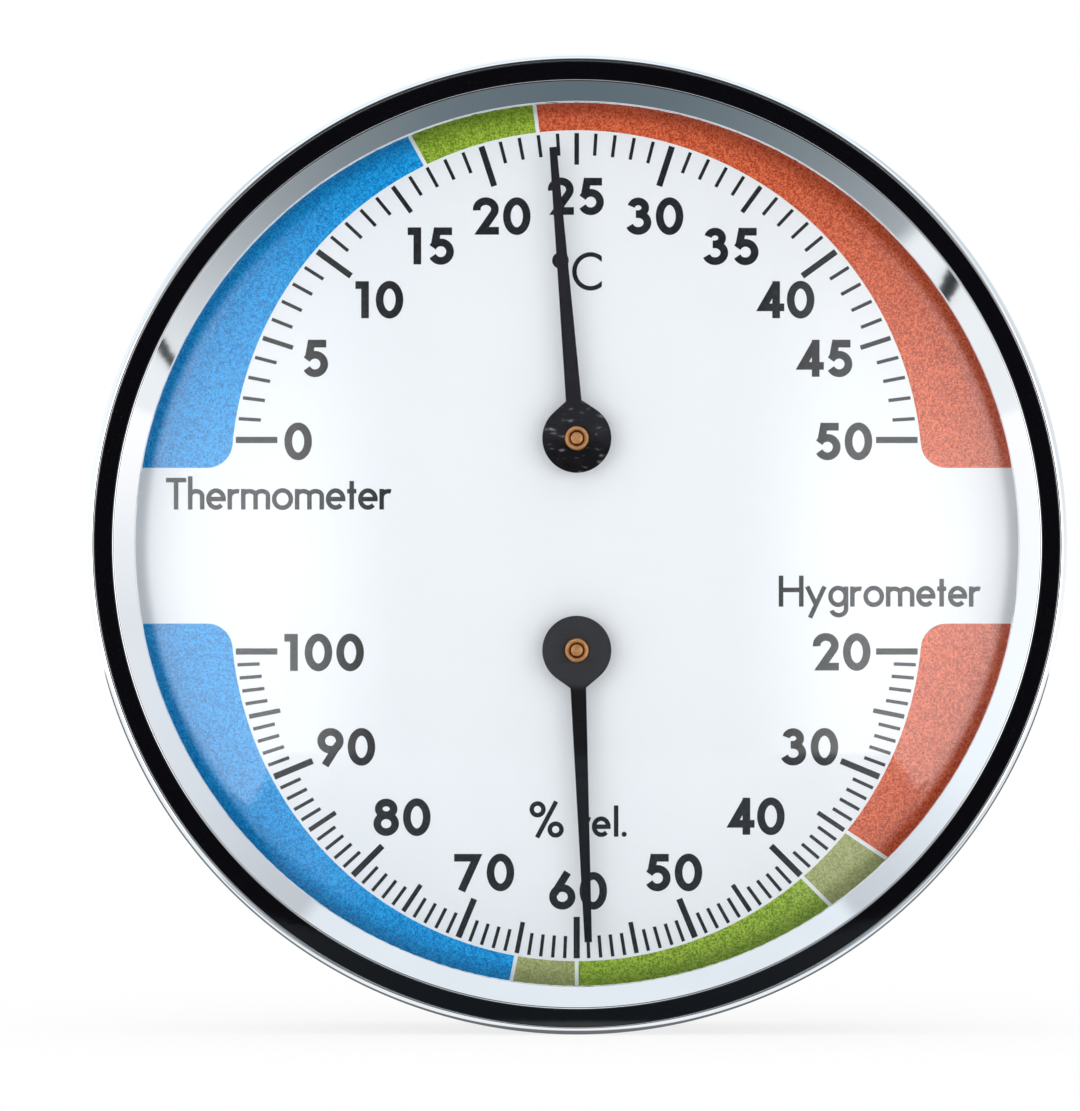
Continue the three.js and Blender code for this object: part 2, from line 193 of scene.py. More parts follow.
def chromeLook():
    board, given = newLook("polishedChrome"), chromeFinish
    haze = board.noise(given["haze"])  # where hands and cloths have been
    lines = board.noise(given["lines"], board.vector(axisDistance(board)))
    tone = board.colours(given["dull"], given["bright"], board.blend(haze, lines))
    return board.finish(given, tone, board.noise(given["ripple"]), haze, lines)


lacquerFinish = {
    "black": (0.0014, 0.0014, 0.0026), "speck": (0.012, 0.012, 0.014), "specks": (0.22, 0), "speckShare": 0.215,
    "haze": (2.5, 3), "ripple": (0.9, 1), "rough": (0.02, 0.05), "relief": 0.0012,
}


def lacquerLook():
    board, given = newLook("blackLacquer"), lacquerFinish
    specks = board.noise(given["specks"]) < given["speckShare"]
    tone = board.colours(given["black"], given["speck"], specks)
    return board.finish(given, tone, board.noise(given["ripple"]), board.noise(given["haze"]))


lensFinish = {
    "shine": 0.04, "edgePower": 5, "tint": (0.985, 0.995, 1.0),
    "wipe": (1.5, 2), "wipeLength": 0.3, "wipeLean": 0.1, "wipeShine": (0.9, 0.2), "wipeRough": (0.01, 0.03),
}


def lensLook():
    board, given = newLook("clearAcrylic"), lensFinish
    x, y, z = board.parts(board.place())
    long = given["wipeLength"]
    smear = board.noise(given["wipe"], board.vector(x * long + z, y, z * long - x * given["wipeLean"]))
    edgeOn = board.node("ShaderNodeLayerWeight", output="Facing") ** given["edgePower"]
    least, more = given["wipeShine"]
    shine = (given["shine"] + (1 - given["shine"]) * edgeOn) * (smear * more + least)
    least, more = given["wipeRough"]
    clear = board.node("ShaderNodeBsdfTransparent", sockets={"Color": (*given["tint"], 1)})
    gloss = board.node("ShaderNodeBsdfAnisotropic", sockets={"Roughness": smear * more + least})
    return board.show(board.shaders(shine, clear, gloss))


rimShade = {"edge": (43.4, 46.6), "enamel": 0.34, "ink": 0.5}  # painted shade: the dial and its print darker towards the bezel, where the ring shades them


# painted shade: how much darker a spot is, none inside the band and most at the dial's rim
def rimShaded(board, most):
    return board.ease(axisDistance(board), rimShade["edge"], mm) ** 2 * most


enamelFinish = {
    "shade": (0.865, 0.872, 0.892), "white": (0.915, 0.92, 0.94), "rimShade": (0.12, 0.13, 0.15),
    "cloud": (9, 3), "grain": (0.12, 1), "rough": (0.36, 0.14), "relief": 0.004,
}


def enamelLook():
    board, given = newLook("dialEnamel"), enamelFinish
    cloud, grain = board.noise(given["cloud"]), board.noise(given["grain"])
    unshadedTone = board.colours(given["shade"], given["white"], board.blend(cloud, grain))
    # painted shade of the ring on the dial's edge
    tone = board.colours(unshadedTone, given["rimShade"], rimShaded(board, rimShade["enamel"]))
    return board.finish(given, tone, grain, grain)


inkFinish = {
    "fine": (0.2, 1), "coarse": (0.34, 2), "contrast": (0.36, 0.64), "rimShadeTone": 0.35,
    "rough": (0.5, 0.15), "relief": 0.006, "specular": 0.05,
}
inkTones = {  # where the print is thick and where it is thin
    "blue": ((0.0, 0.19, 0.54), (0.018, 0.45, 0.94)),
    "green": ((0.13, 0.25, 0.008), (0.44, 0.60, 0.07)),
    "red": ((0.46, 0.054, 0.019), (0.89, 0.198, 0.084)),
    "olive": ((0.28, 0.31, 0.10), (0.50, 0.53, 0.23)),
    "black": ((0.010, 0.011, 0.013), (0.028, 0.030, 0.034)),
}


def inkLook(name, deep, pale):
    board, given = newLook(f"{name}Ink"), inkFinish
    fine, coarse = board.noise(given["fine"]), board.noise(given["coarse"])
    inkOrBladeTone = board.colours(deep, pale, board.ease(board.blend(fine, coarse), given["contrast"]))
    # painted shade: near the ring the print goes towards a darker copy of its deep tone
    rimShadedInk = tuple(part * given["rimShadeTone"] for part in deep)
    tone = board.colours(inkOrBladeTone, rimShadedInk, rimShaded(board, rimShade["ink"]))
    return board.finish(given, tone, fine, fine)


spacerFinish = {
    "shade": (0.74, 0.765, 0.79), "light": (0.80, 0.82, 0.84), "cloud": (3, 2), "grain": (0.2, 2),
    "rough": (0.45, 0.12), "relief": 0.004,
}


def spacerLook():
    board, given = newLook("whitePlastic"), spacerFinish
    cloud = board.noise(given["cloud"])
    tone = board.colours(given["shade"], given["light"], cloud)
    return board.finish(given, tone, board.noise(given["grain"]), cloud)


# painted reflections and highlights: one pointer paint, lighter or darker by where it sits on the two pointers,
# with smudges on the upper hub painted lighter
paintFinish = {
    "dull": ((0.013, 0.012, 0.017), (0.018, 0.017, 0.022)), "cloud": (4, 2), "grain": (0.1, 1),
    "halves": (-0.4, 0.4),
    "lowerHubReflection": (0.036, 0.035, 0.039), "inkOrBladeTone": (0.005, 0.0045, 0.006), "hubEdge": (3.4, 4.6),
    "polished": (0.003, 0.0027, 0.004), "darkReflectionEdge": (pivotHeight - 1.2, pivotHeight + 0.8),
    "smudgeGlint": (0.22, 0.22, 0.23), "smudgeGlints": (0.56, 0.74), "smudge": (0.8, 3), "smudgeStretch": 0.45,
    "sheen": (0.3, 0.7), "rough": (0.24, 0.10, 0.06), "relief": 0.003, "specular": 0.09,
}


def paintLook():
    board, given = newLook("pointerPaint"), paintFinish
    x, y, z = board.parts(board.place())
    smudge = board.noise(given["smudge"], board.vector(x * given["smudgeStretch"], y, z))
    grain = board.noise(given["grain"])
    hub = 1 - board.ease(board.length(x, abs(z) - pivotHeight * mm), given["hubEdge"], mm)
    upper = board.ease(z, given["halves"], mm)
    lower = 1 - upper
    tone = board.colours(*given["dull"], board.noise(given["cloud"]))
    tone = board.colours(tone, given["lowerHubReflection"], hub * lower)  # painted reflection: the lower pointer's hub lighter than its blade
    # painted: the lower pointer's blade darker
    tone = board.colours(tone, given["inkOrBladeTone"], (1 - hub) * lower)
    # painted reflection: the upper pointer darker below its pivot
    tone = board.colours(tone, given["polished"], upper * (1 - board.ease(z, given["darkReflectionEdge"], mm)))
    smudgeGlints = board.ease(smudge, given["smudgeGlints"]) * hub * upper  # smudges on the upper hub, their gloss painted in as lighter colour (painted highlight)
    tone = board.colours(tone, given["smudgeGlint"], smudgeGlints)
    return board.finish(given, tone, grain, board.ease(smudge, given["sheen"]), grain)


brassFinish = {
    "dark": (0.44, 0.18, 0.065), "bright": (0.85, 0.46, 0.20), "contrast": (0.25, 0.75),
    "lines": (0.05, 1), "stain": (0.4, 2),
    "slotShade": (0.03, 0.018, 0.01), "slotShadeShare": 0.85, "slotShadeStart": (4.0, 4.4), "slotShadeEnd": (5.2, 5.8),
    "rough": (0.22, 0.14, 0.14), "relief": 0.004, "metallic": 1.0,
}


def brassLook(name, height):  # turned about the axis of its own pivot
    board, given = newLook(name), brassFinish
    lines = board.noise(given["lines"], board.vector(axisDistance(board, height)))
    stain = board.noise(given["stain"])
    share = board.ease(board.blend(lines, stain), given["contrast"])
    depth = -board.parts(board.place())[1]
    # painted shade: darker between these depths, where the screwdriver slot lies
    slotShade = board.ease(depth, given["slotShadeStart"], mm) * (1 - board.ease(depth, given["slotShadeEnd"], mm))
    unshadedTone = board.colours(given["dark"], given["bright"], share)
    tone = board.colours(unshadedTone, given["slotShade"], slotShade * given["slotShadeShare"])  # painted shade, darker down in the screwdriver slot
    return board.finish(given, tone, lines, lines, stain)


mouldedFinish = {
    "dark": (0.010, 0.010, 0.012), "light": (0.032, 0.032, 0.035), "grain": (0.7, 2), "contrast": (0.35, 0.65),
    "cloud": (12, 3), "cloudShare": 0.5, "rough": (0.38, 0.2, 0.1), "relief": 0.07,
}


def mouldedLook():
    board, given = newLook("mouldedPlastic"), mouldedFinish
    grain = board.ease(board.noise(given["grain"]), given["contrast"])  # eroded mould
    cloud = board.noise(given["cloud"])
    tone = board.colours(given["dark"], given["light"], board.blend(grain, cloud, given["cloudShare"]))
    return board.finish(given, tone, grain, grain, cloud)


stripFinish = {
    "lines": (0.09, 2), "bloom": (2.2, 3), "rough": (0.26, 0.12, 0.14), "relief": 0.003, "metallic": 1.0,
}


def stripLook(name, dark, light, stretch):  # rolled or plated strip, with its grain along X
    board, given = newLook(name), stripFinish
    x, y, z = board.parts(board.place())
    lines = board.noise(given["lines"], board.vector(x * stretch, y, z))
    bloom = board.noise(given["bloom"])
    return board.finish(given, board.colours(dark, light, board.blend(bloom, lines)), lines, lines, bloom)


chrome = chromeLook()
lacquer = lacquerLook()
acrylic = lensLook()
enamel = enamelLook()
spacerPlastic = spacerLook()
paint = paintLook()
moulded = mouldedLook()
zinc = stripLook("zincPlate", (0.40, 0.42, 0.45), (0.58, 0.60, 0.62), 0.2)
bimetal = stripLook("bimetalStrip", (0.40, 0.32, 0.20), (0.56, 0.47, 0.33), 0.1)
foil = stripLook("coatedStrip", (0.46, 0.38, 0.27), (0.62, 0.54, 0.42), 0.1)
brass = {"thermo": brassLook("upperBrass", pivotHeight), "hygro": brassLook("lowerBrass", -pivotHeight)}
inks = {name: inkLook(name, *tones) for name, tones in inkTones.items()}
print("finishes made:", len(bpy.data.materials))


# meshes

meshing = {"sharpAngle": 32, "edgeSteps": 2, "weld": 0.0002, "onAxis": 1e-6}


def newObject(name, data, look=None):
    obj = bpy.data.objects.new(name, data)
    data.name = name
    bpy.context.scene.collection.objects.link(obj)
    if look:
        data.materials.clear()
        data.materials.append(look)
    return obj


def softShaded(mesh, angle=meshing["sharpAngle"]):
    mesh.shade_smooth()
    mesh.set_sharp_from_angle(angle=math.radians(angle))
    return mesh


def meshFrom(shape):
    bmesh.ops.recalc_face_normals(shape, faces=shape.faces)
    mesh = bpy.data.meshes.new("mesh")
    shape.to_mesh(mesh)
    shape.free()
    return softShaded(mesh)


def frozen(obj):  # the object's mesh with its modifiers in it, and the object itself gone
    bpy.context.view_layer.update()
    settled = obj.evaluated_get(bpy.context.evaluated_depsgraph_get())
    mesh = bpy.data.meshes.new_from_object(settled)
    bpy.data.objects.remove(obj)
    return mesh


def arc(x, y, acrossX, acrossY, start, end, steps=20):  # angles in degrees
    turns = [math.radians(start + (end - start) * i / steps) for i in range(steps + 1)]
    return [(x + acrossX * math.cos(a), y + acrossY * math.sin(a)) for a in turns]


def circle(x, y, radius, steps=48):
    return arc(x, y, radius, radius, 0, 360, steps)[:-1]


# a closed outline from corners (x, y, round), where round is the radius of that corner
def rounded(corners, steps=5):
    points = []
    for k, (x, y, *size) in enumerate(corners):
        here = Vector((x, y))
        if not size:
            points.append((x, y))
            continue
        back = (Vector(corners[k - 1][:2]) - here).normalized()
        on = (Vector(corners[(k + 1) % len(corners)][:2]) - here).normalized()
        half = back.angle(on) / 2
        centre = here + (back + on).normalized() * size[0] / math.sin(half)
        start = here + back * size[0] / math.tan(half) - centre
        end = here + on * size[0] / math.tan(half) - centre
        turn = math.atan2(start.x * end.y - start.y * end.x, start.dot(end))
        points += [tuple(centre + Matrix.Rotation(turn * i / steps, 2) @ start) for i in range(steps + 1)]
    return points


# a closed profile of (radius, depth) turned about an axis along Y
def turnedMesh(profile, steps, height=0.0):
    shape = bmesh.new()
    turns = [2 * math.pi * i / steps for i in range(steps)]
    rows = []
    for radius, depth in profile:
        spokes = turns if radius > meshing["onAxis"] else turns[:1]  # one point on the axis
        spots = [(radius * math.sin(a), -depth, height + radius * math.cos(a)) for a in spokes]
        rows.append([shape.verts.new(Vector(spot) * mm) for spot in spots])
    for one, other in zip(rows, rows[1:] + rows[:1]):
        if len(one) == len(other) == 1:
            continue
        for i in range(steps):
            j = (i + 1) % steps
            ring = [one[i % len(one)], one[j % len(one)], other[j % len(other)], other[i % len(other)]]
            shape.faces.new(list(dict.fromkeys(ring)))
    return meshFrom(shape)


# a flat piece from front-view outlines, the first one the rim and the others holes
def sheetMesh(outlines, back, front, edge=0.0):
    curve = bpy.data.curves.new("sheet", "CURVE")
    curve.dimensions = "2D"
    curve.fill_mode = "BOTH"
    curve.extrude = (front - back) / 2 * mm - edge * mm
    curve.bevel_depth = edge * mm
    curve.bevel_resolution = meshing["edgeSteps"]
    curve.offset = -edge * mm
    for outline in outlines:
        spline = curve.splines.new("POLY")
        spline.points.add(len(outline) - 1)
        for point, (x, y) in zip(spline.points, outline):
            point.co = (x * mm, y * mm, 0, 1)
        spline.use_cyclic_u = True
    flat = frozen(newObject("sheet", curve))
    shape = bmesh.new()
    shape.from_mesh(flat)
    bpy.data.meshes.remove(flat)
    upright = Matrix.Translation((0, -(back + front) / 2 * mm, 0)) @ Matrix.Rotation(math.pi / 2, 4, "X")
    bmesh.ops.transform(shape, matrix=upright, verts=shape.verts)
    bmesh.ops.remove_doubles(shape, verts=shape.verts, dist=meshing["weld"] * mm)
    return meshFrom(shape)


def changed(mesh, tools, operation):  # booleans with other meshes
    obj = newObject("blank", mesh)
    helpers = [newObject("tool", tool) for tool in tools]
    for helper in helpers:
        step = obj.modifiers.new("step", "BOOLEAN")
        step.operation = operation
        step.solver = "EXACT"
        step.object = helper
    result = frozen(obj)
    for helper in helpers:
        bpy.data.objects.remove(helper)
    return softShaded(result)


def newTree(name, inputs):  # a geometry tree with named inputs, given as socket type: names
    tree = bpy.data.node_groups.new(name, "GeometryNodeTree")
    for kind, labels in ({"Geometry": ["Geometry"]} | inputs).items():
        for label in labels:
            tree.interface.new_socket(label, in_out="INPUT", socket_type=f"NodeSocket{kind}")
    tree.interface.new_socket("Geometry", in_out="OUTPUT", socket_type="NodeSocketGeometry")
    board = Board(tree)
    return board, board.outputs("NodeGroupInput")


def endTree(board, geometry, look):
    whole = board.geometry("RealizeInstances", Geometry=geometry)
    dressed = board.geometry("SetMaterial", Geometry=whole, Material=look)
    board.node("NodeGroupOutput", sockets={"Geometry": dressed})
    return board.tree


def grown(tree, values, mesh=None):  # the plain mesh that a tree makes with these values
    obj = newObject("grown", mesh or bpy.data.meshes.new("grown"))
    growth = obj.modifiers.new("growth", "NODES")
    growth.node_group = tree
    for item in tree.interface.items_tree:
        if item.in_out == "INPUT" and item.name in values:
            growth[item.identifier] = values[item.name]
    return frozen(obj)


def fit(name, mesh, look, body, slot, *replaced):
    obj = newObject(name, mesh, look)
    weigh = obj.modifiers.new("weigh", "WEIGHTED_NORMAL")  # faces between rounded edges stay flat
    weigh.keep_sharp = True
    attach(obj, body)
    if replaced:
        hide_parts(*replaced)


# camera, background, floor and lamps

view = {
    "distance": 800, "pixelsPerMm": 9.521, "frame": (1080, 1111), "middle": (577.0, 544.2),
    "rimDrop": 0.57, "sensor": 36, "clipStart": 10,
}


def setCamera():
    data = bpy.data.cameras.new("camera")
    camera = newObject("camera", data)
    wide, tall = view["frame"]
    right = (view["middle"][0] - wide / 2) / view["pixelsPerMm"]
    up = (tall / 2 - view["middle"][1]) / view["pixelsPerMm"]
    rim = bezelSize["front"] - view["rimDrop"]
    camera.location = Vector((-right, -rim - view["distance"], -up)) * mm
    camera.rotation_euler = (math.pi / 2, 0, 0)
    data.sensor_width = view["sensor"]
    data.lens = view["sensor"] * view["distance"] / (tall / view["pixelsPerMm"])
    data.clip_start = view["clipStart"] * mm
    bpy.context.scene.camera = camera


room = {
    "fill": 0.72, "open": 1.16,
    "lowTint": (1.0, 1.0, 1.012), "highTint": (0.94, 1.0, 1.065), "tintRise": (-0.3, 0.5),
    "gap": (0.55, 0.585, 0.95), "gapRise": (0.05, 0.3), "gapDepth": 0.30,
    "overhead": (0.50, 0.90), "overheadFront": (0.1, 0.3), "overheadDepth": 0.17,
    "wallSide": (0.4, 0.9), "wallRise": (-0.25, 0.2), "wallDepth": 0.2,
    "behindCamera": 0.045, "behind": (0.88, 0.965),
    "softbox": 2.9, "softboxSide": (0.09, 0.175), "softboxTop": (0.0, 0.24), "softboxFoot": (0.15, 0.20),
}


def setRoom():
    world = bpy.data.worlds.new("studio")
    bpy.context.scene.world = world
    world.use_nodes = True
    world.node_tree.nodes.clear()
    board = Board(world.node_tree)
    x, y, z = board.parts(board.node("ShaderNodeTexCoord", output="Generated"))
    box = board.ease(abs(x), room["softboxSide"]) * (1 - board.ease(z, room["softboxTop"]))
    box = box * (1 - board.ease(-z, room["softboxFoot"]))
    gapIn, gapOut = room["gap"][:2], room["gap"][1:]  # between the panel overhead and the walls
    gap = board.ease(abs(x), gapIn) * (1 - board.ease(abs(x), gapOut)) * board.ease(z, room["gapRise"])
    high = board.ease(z, room["overhead"]) * board.ease(-y, room["overheadFront"])
    wall = board.ease(x, room["wallSide"]) * board.ease(z, room["wallRise"])
    around = room["open"] * (1 - gap * room["gapDepth"])
    around = around * (1 - high * room["overheadDepth"]) * (1 - wall * room["wallDepth"])
    near = room["behindCamera"] + box * (room["softbox"] - room["behindCamera"])
    behind = board.ease(-y, room["behind"])
    mirrored = around + behind * (near - around)
    path = board.outputs("ShaderNodeLightPath")
    glossy = path["Is Glossy Ray"]
    seen = path["Is Camera Ray"] + path["Is Transmission Ray"]
    strength = seen + glossy * mirrored + (1 - seen - glossy) * room["fill"]
    air = board.colours(room["lowTint"], room["highTint"], board.ease(z, room["tintRise"]))
    tint = board.colours((1, 1, 1), air, glossy * (1 - behind))
    backdrop = board.node("ShaderNodeBackground", sockets={"Color": tint, "Strength": strength})
    board.node("ShaderNodeOutputWorld", sockets={"Surface": backdrop})


floor = {
    "radius": 2500, "steps": 96, "tone": (0.92, 0.92, 0.92), "worn": (0.9, 0.9, 0.9), "grain": (2, 2),
    "seenWhite": 0.8, "seenEnd": (60, 200), "mirroredUnder": (0.17, 0.18, 0.19),
    "mirroredDark": (0.136, 0.178, 0.205), "mirroredPale": (1.0, 1.03, 1.06),
    "darkSide": (0, 135), "darkLeftEnd": (52, 58), "darkFront": (42, 50), "underFront": (24.4, 25.0),
    "paleSide": (8, 22), "paleSlant": 0.2, "paleFront": (80, 95),
    "endMiddle": 3.5, "endSlant": 0.1, "endSide": (47.5, 51), "endNear": (185, 198), "endFar": (255, 275),
    "cards": [
        {"x": -73, "y": 65.6, "side": (4.2, 4.8), "slant": -1.5, "far": 125},
        {"x": 108.4, "y": 74.4, "side": (10, 10.6), "slant": 5.4, "far": 158},
    ],
    "cardDepth": 3.2, "cardTone": (0.01, 0.012, 0.014),
}


def setFloor():
    shape = bmesh.new()
    bmesh.ops.create_circle(shape, cap_ends=True, segments=floor["steps"], radius=floor["radius"] * mm)
    mesh = bpy.data.meshes.new("floor")
    shape.to_mesh(mesh)
    shape.free()
    mesh.transform(Matrix.Translation((0, 0, -bezelSize["radius"] * mm)))
    board = newLook("paleFloor")
    x, y, _ = board.parts(board.place())
    path = board.outputs("ShaderNodeLightPath")
    camera, glossy = path["Is Camera Ray"], path["Is Glossy Ray"]

    def step(value, name):
        return board.ease(value, floor[name], mm)

    tone = board.colours(floor["tone"], floor["worn"], board.noise(floor["grain"]))
    matt = board.node("ShaderNodeBsdfDiffuse", sockets={"Color": tone})
    pale = step(abs(x) + y * floor["paleSlant"], "paleSide") * step(-y, "paleFront")
    dark = (1 - step(abs(x), "darkSide")) * (1 - step(-x, "darkLeftEnd")) * step(-y, "darkFront")
    # for glossy rays the floor glows with painted tones, which the chrome ring shows as painted reflections
    mirrored = board.colours(floor["mirroredPale"], floor["mirroredDark"], dark * (1 - pale))
    for card in floor["cards"]:  # painted reflections: small dark patches of the floor's glow at the sides, seen only in the chrome ring
        along = -y - card["y"] * mm
        across = 1 - board.ease(abs(x - card["x"] * mm + along * card["slant"]), card["side"], mm)
        inside = (abs(along) < floor["cardDepth"] * mm) * (1 - (path["Ray Length"] < card["far"] * mm))
        mirrored = board.colours(mirrored, floor["cardTone"], across * inside)
    mirrored = board.colours(floor["mirroredUnder"], mirrored, step(-y, "underFront"))
    glow = board.node("ShaderNodeEmission", sockets={"Color": board.colours((1, 1, 1), mirrored, glossy)})
    lit = board.shaders(glossy + camera * floor["seenWhite"], matt, glow)
    reach = board.length(x, y)
    beside = step(abs(x - floor["endMiddle"] * mm) + y * floor["endSlant"], "endSide")
    ended = beside * step(reach, "endNear") + (1 - beside) * step(-y, "endFar")
    gone = ended * glossy + step(reach, "seenEnd") * camera
    look = board.show(board.shaders(gone, lit, board.node("ShaderNodeBsdfTransparent")))
    newObject("floor", mesh, look)


lamps = {
    "left": {"place": (-470, -900, -130), "size": (900, 1000), "power": 5.7},
    "right": {"place": (500, -900, -130), "size": (900, 1000), "power": 5.5},
    "top": {"place": (0, 120, 900), "size": (1600, 1200), "power": 6.0},
}


def setLamps():
    for name, lamp in lamps.items():
        data = bpy.data.lights.new(name, "AREA")
        data.shape = "RECTANGLE"
        data.size, data.size_y = (side * mm for side in lamp["size"])
        data.energy = lamp["power"]
        obj = newObject(name, data)
        obj.location = Vector(lamp["place"]) * mm
        obj.rotation_euler = (-obj.location).to_track_quat("-Z", "Y").to_euler()
        obj.visible_glossy = False  # polished pieces mirror the room instead


setCamera()
setRoom()
setFloor()
setLamps()
bpy.context.scene.view_settings.view_transform = "Standard"
print("studio set")


# housing

bezel = {
    "edge": 0.77, "edgeRound": 0.57, "bandWidth": 1.94, "bandThickness": 0.5, "bandGap": 0.05,
    "land": 0.2, "landRound": 0.12, "bevelWidth": 2.35, "bevelDrop": 1.7, "sightRound": 0.5, "lip": 0.6,
    "skirtWall": 1.5, "skirtRounds": (0.2, 0.4), "fineRound": 0.05, "steps": 320,
}
bezelOuter = bezelSize["radius"]
bandOuter = bezelOuter - bezel["edge"]
bandInner = bandOuter - bezel["bandWidth"]
sightRadius = bandInner - bezel["bevelWidth"]


def makeBezel():
    back, front = bezelSize["back"], bezelSize["front"]
    groove = front - bezel["bandThickness"]
    sight = front - bezel["bevelDrop"]
    skirtInner = bezelOuter - bezel["skirtWall"]
    fine = bezel["fineRound"]
    section = rounded([
        (skirtInner, back, bezel["skirtRounds"][0]), (bezelOuter, back, bezel["skirtRounds"][1]),
        (bezelOuter, front, bezel["edgeRound"]), (bandOuter, front, fine),
        (bandOuter, groove), (bandInner, groove),
        (bandInner, front, fine), (bandInner - bezel["land"], front, bezel["landRound"]),
        (sightRadius, sight, bezel["sightRound"]), (sightRadius, sight - bezel["lip"], fine),
        (skirtInner, sight - bezel["lip"]),
    ], steps=6)
    fit("bezelShell", turnedMesh(section, bezel["steps"]), chrome, "case", "bezel_chrome", "bezel_ring")


def makeBand():
    inner, outer = bandInner + bezel["bandGap"], bandSize["radius"]
    back, front = bandSize["back"], bandSize["front"]
    fine = bezel["fineRound"]
    section = rounded([(inner, back), (outer, back), (outer, front, fine), (inner, front, fine)], steps=4)
    fit("blackInlay", turnedMesh(section, bezel["steps"]), lacquer, "case", "band_lacquer", "bezel_band")


dome = {"thickness": 1.5, "inset": 0.7, "rows": 28, "steps": 192}


def makeLens():
    radius = sightRadius - dome["inset"]
    rim = lensSize["back"]
    rise = lensSize["front"] - rim - dome["thickness"]
    ball = (radius ** 2 + rise ** 2) / (2 * rise)
    crown = []
    for k in range(dome["rows"] + 1):
        out = radius * (1 - k / dome["rows"])
        crown.append((out, math.sqrt(ball ** 2 - out ** 2) - ball + rise))
    under = [(out, rim + up) for out, up in reversed(crown)]
    over = [(out, rim + dome["thickness"] + up) for out, up in crown]
    flange = [(lensSize["radius"], rim), (lensSize["radius"], rim + dome["thickness"])]
    mesh = turnedMesh(under + flange + over, dome["steps"])
    fit("clearLens", mesh, acrylic, "case", "lens_clear", "lens")


spacer = {"wall": 0.7, "round": 0.08}


def makeSpacer():
    inner, outer = spacerSize["radius"] - spacer["wall"], spacerSize["radius"]
    back, front = spacerSize["back"], spacerSize["front"]
    corners = [(inner, back), (outer, back), (outer, front), (inner, front)]
    section = rounded([(*corner, spacer["round"]) for corner in corners], steps=3)
    ring = turnedMesh(section, bezel["steps"])
    fit("dialSpacer", ring, spacerPlastic, "case", "spacer_plastic", "dial_spacer")


case = {
    "back": 2.0, "side": 1.5, "backRadius": 43.0, "backRounds": (1.6, 0.6), "shoulderDepth": 9.0,
    "shoulderRound": 1.2, "ledgeDepth": dialSize["back"], "ledgeRadius": 46.2, "rimRound": 0.15,
    "bossRadius": 2.6, "bossHeight": 6.0, "bossReach": (19.0, pivotHeight), "bossSteps": 32,
    "pilotRadius": 1.2, "pilotDepth": 2.9,
    "ventCount": 24, "ventWidth": 2.0, "ventLength": 3.6, "ventStart": 3.2,
    "keyholeRadius": 4.5, "keyholeSlot": 2.3, "keyholeTop": 31.2, "keyholeDrop": 8.0, "adjusterRadius": 3.5,
    "cutSpare": (1, 0.5), "endSteps": 8, "weld": 0.001, "sharpAngle": 28, "steps": 192,
}


def cupProfile():
    outer, front, ledge = caseSize["radius"], caseSize["front"], case["ledgeDepth"]
    back, backRadius, fine = case["back"], case["backRadius"], case["rimRound"]
    slope = (outer - backRadius) / case["shoulderDepth"]
    shift = back * math.hypot(1, slope)
    innerShoulder = (case["ledgeRadius"] + shift - backRadius) / slope
    outerRound, innerRound = case["backRounds"]
    return rounded([
        (0, 0), (backRadius, 0, outerRound), (outer, case["shoulderDepth"], case["shoulderRound"]),
        (outer, front, fine), (outer - case["side"], front, fine), (outer - case["side"], ledge),
        (case["ledgeRadius"], ledge, fine), (case["ledgeRadius"], innerShoulder),
        (backRadius + slope * back - shift, back, innerRound), (0, back),
    ])


def ventTool():  # one slot with round ends, at the top of the shoulder
    half, spare, steps = case["ventWidth"] / 2, case["cutSpare"][0], case["endSteps"]
    low = case["ventStart"] + half
    high = case["ventStart"] + case["ventLength"] - half
    slot = arc(0, high, half, half, 0, 180, steps) + arc(0, low, half, half, 180, 360, steps)
    mesh = sheetMesh([slot], -caseSize["radius"] - spare, spare - case["backRadius"])
    mesh.transform(Matrix.Rotation(math.pi / 2, 4, "X"))
    return mesh


def keyholeOutline():
    top, radius, half, steps = case["keyholeTop"], case["keyholeRadius"], case["keyholeSlot"], case["endSteps"]
    meet = math.degrees(math.acos(half / radius))
    entry = arc(0, top - case["keyholeDrop"], radius, radius, 180 - meet, 360 + meet, steps * 5)
    return arc(0, top, half, half, 0, 180, steps * 2) + entry


def caseTree():  # bosses are joined to the cup, then slots all round it and the other holes are cut
    board, given = newTree("caseTree", {
        "Object": ["Boss", "Vent", "Holes"], "Float": ["Boss Across", "Boss Up", "Weld"],
        "Int": ["Vent Count"], "Material": ["Plastic"]})

    def tool(name):
        return board.geometry("ObjectInfo", "Geometry", Object=given[name])

    def boolean(operation, others, base):
        settings = {"operation": operation, "solver": "EXACT"}
        wholes = [board.geometry("RealizeInstances", Geometry=other) for other in others]
        return board.node("GeometryNodeMeshBoolean", settings, base | {"Mesh 2": wholes})

    index = board.geometry("InputIndex")
    right, up = (index % 2) * 2 - 1, 1 - (index < 2) * 2
    corner = board.vector(right * given["Boss Across"], 0.0, up * given["Boss Up"])
    corners = board.geometry("SetPosition", Geometry=board.geometry("Points", Count=4), Position=corner)
    bosses = board.geometry("InstanceOnPoints", Points=corners, Instance=tool("Boss"))
    ring = board.geometry("Points", Count=given["Vent Count"])
    aimed = board.aboutY((index + 0.5) * (2 * math.pi) / given["Vent Count"])
    vents = board.geometry("InstanceOnPoints", Points=ring, Instance=tool("Vent"), Rotation=aimed)
    joined = boolean("UNION", [given["Geometry"], bosses], {})
    slotted = boolean("DIFFERENCE", [vents], {"Mesh 1": joined})
    cut = boolean("DIFFERENCE", [tool("Holes")], {"Mesh 1": slotted})
    welded = board.geometry("MergeByDistance", Geometry=cut, Distance=given["Weld"])
    return endTree(board, welded, given["Plastic"])


